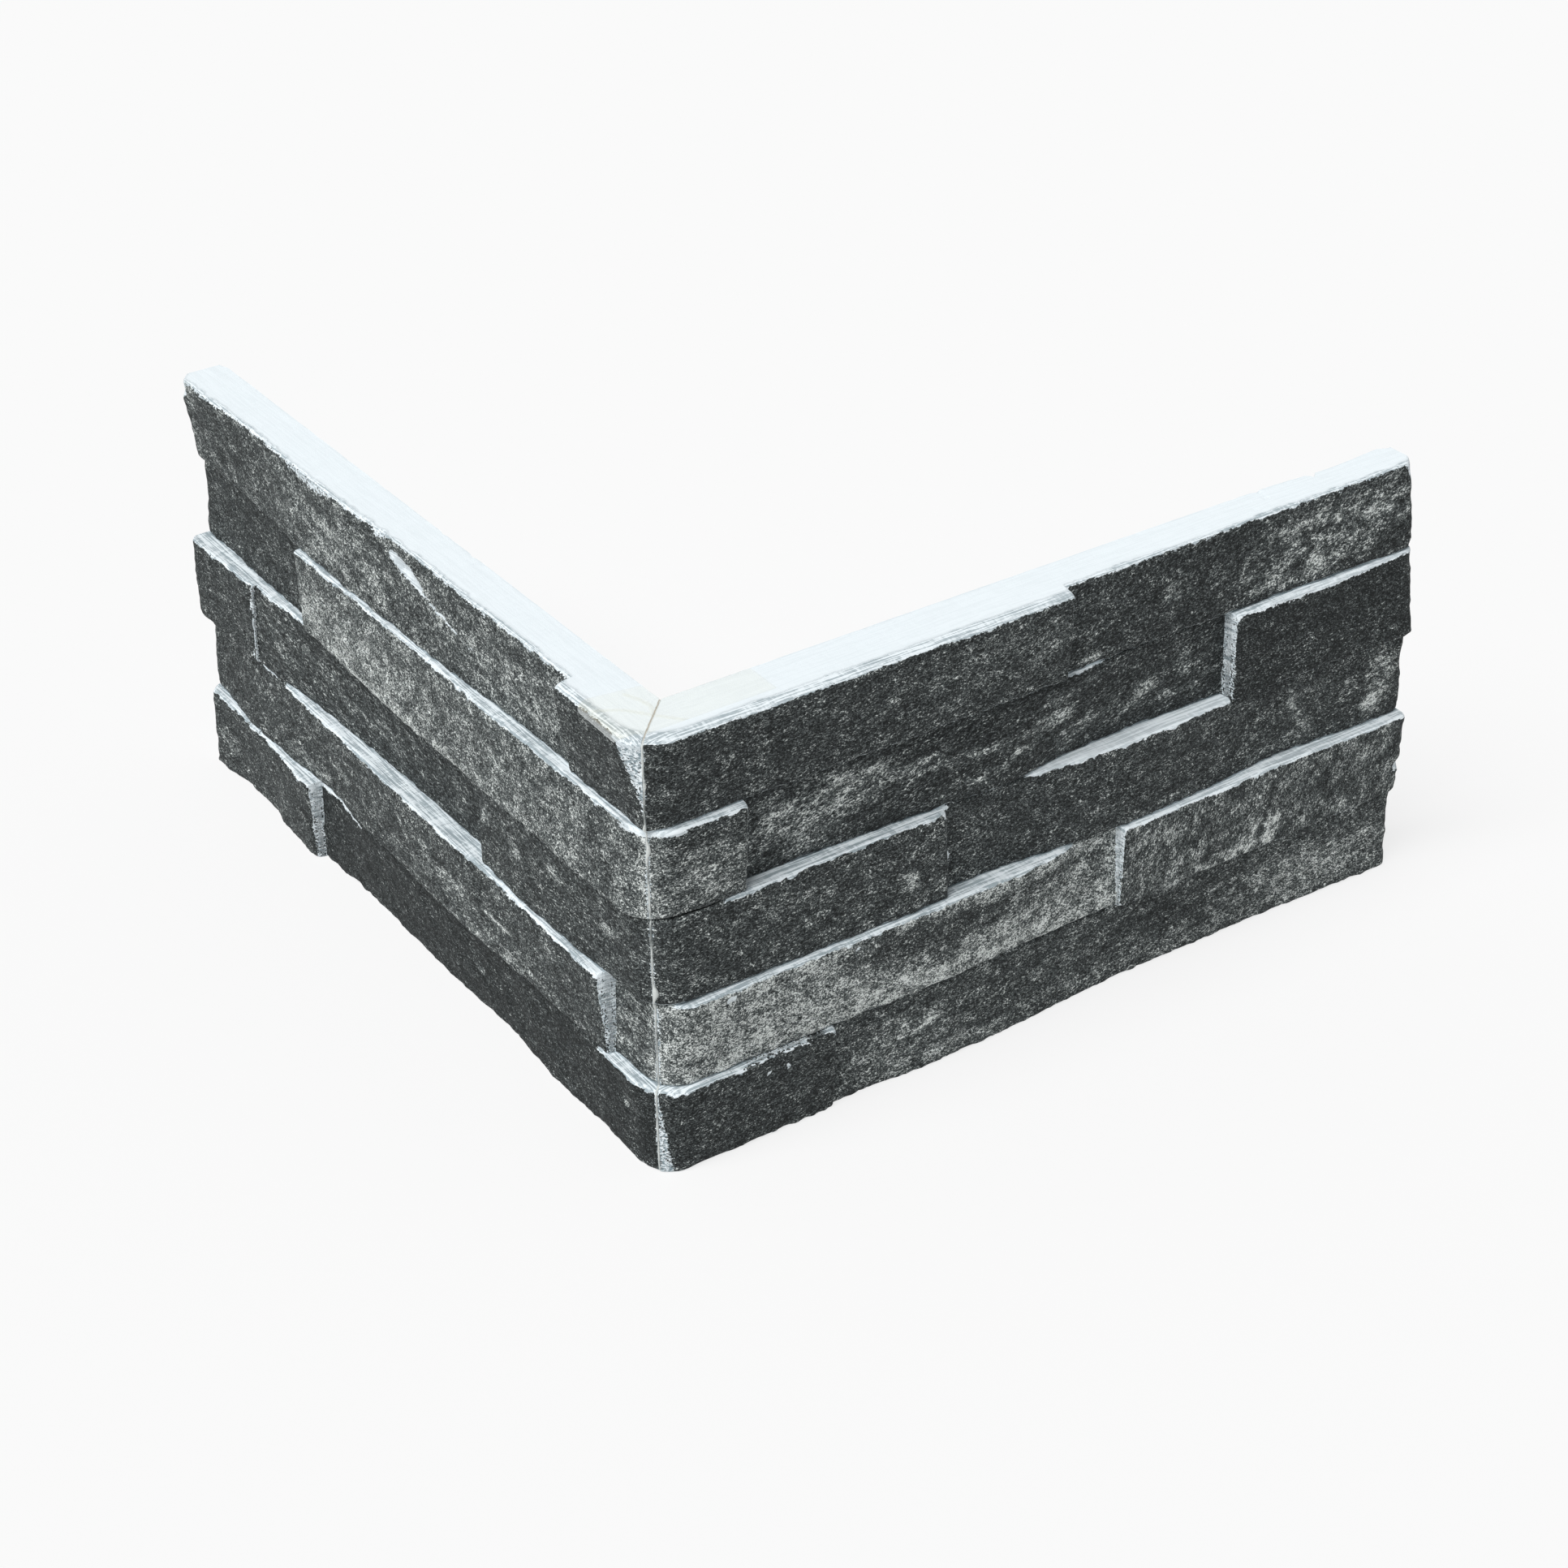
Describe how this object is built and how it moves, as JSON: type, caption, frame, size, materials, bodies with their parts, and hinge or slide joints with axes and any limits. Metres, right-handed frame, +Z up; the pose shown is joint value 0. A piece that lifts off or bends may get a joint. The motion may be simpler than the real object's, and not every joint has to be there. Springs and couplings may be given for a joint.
{
  "type": "stacked stone facade corner",
  "caption": "Outside corner of moulded stacked-stone facade cladding: mitred panels with a stepped split-face relief, glued and taped along the joint.",
  "frame": {"origin": "foot of the inner arris, where the wall's own corner meets the ground", "axes": "+X along the right panel's wall face, +Y along the left panel's wall face, +Z up"},
  "size_m": [0.356, 0.3568, 0.1802],
  "materials": {
    "printed_concrete": "pale cast body, dark printed split face",
    "adhesive": "cured adhesive, matt",
    "tape": "clear film, glossy"
  },
  "bodies": {
    "root": {"right_panel": "printed_concrete", "left_panel": "printed_concrete", "mitre_adhesive": "adhesive", "corner_tape": "tape"}
  },
  "joints": []
}
